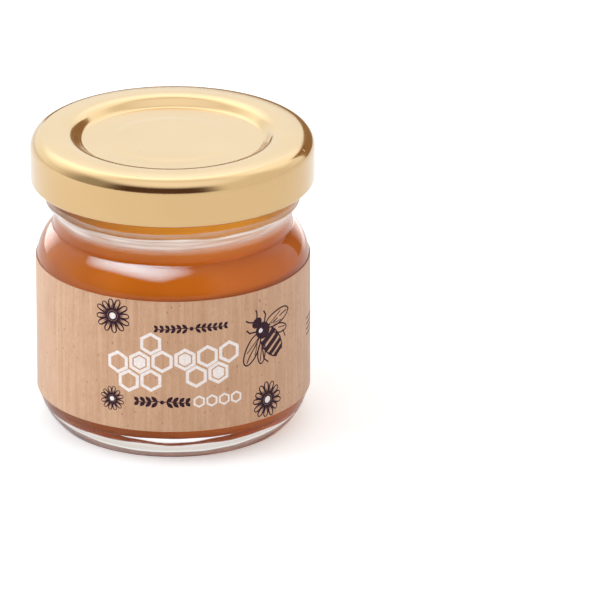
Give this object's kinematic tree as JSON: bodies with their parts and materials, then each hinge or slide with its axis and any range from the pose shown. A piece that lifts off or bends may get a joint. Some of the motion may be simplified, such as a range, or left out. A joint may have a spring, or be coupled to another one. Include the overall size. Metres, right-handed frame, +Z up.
{
  "type": "honey jar",
  "caption": "Small round clear glass jar of honey with a gold twist-off lid and a kraft paper label wrapped round its body.",
  "frame": {"origin": "centre of the foot ring, on the surface the jar stands on", "axes": "+Z up along the jar's axis; -Y is the front of the label; the label's lap is at +Y"},
  "size_m": [0.046, 0.046, 0.0491],
  "materials": {
    "clear_glass": "clear moulded glass",
    "honey": "translucent amber honey",
    "gold_tinplate": "satin gold lacquer on pressed tinplate",
    "kraft_paper": "matt kraft paper with dark and white print"
  },
  "bodies": {
    "root": {"glass": "clear_glass", "honey": "honey", "lid": "gold_tinplate", "label": "kraft_paper"}
  },
  "joints": []
}
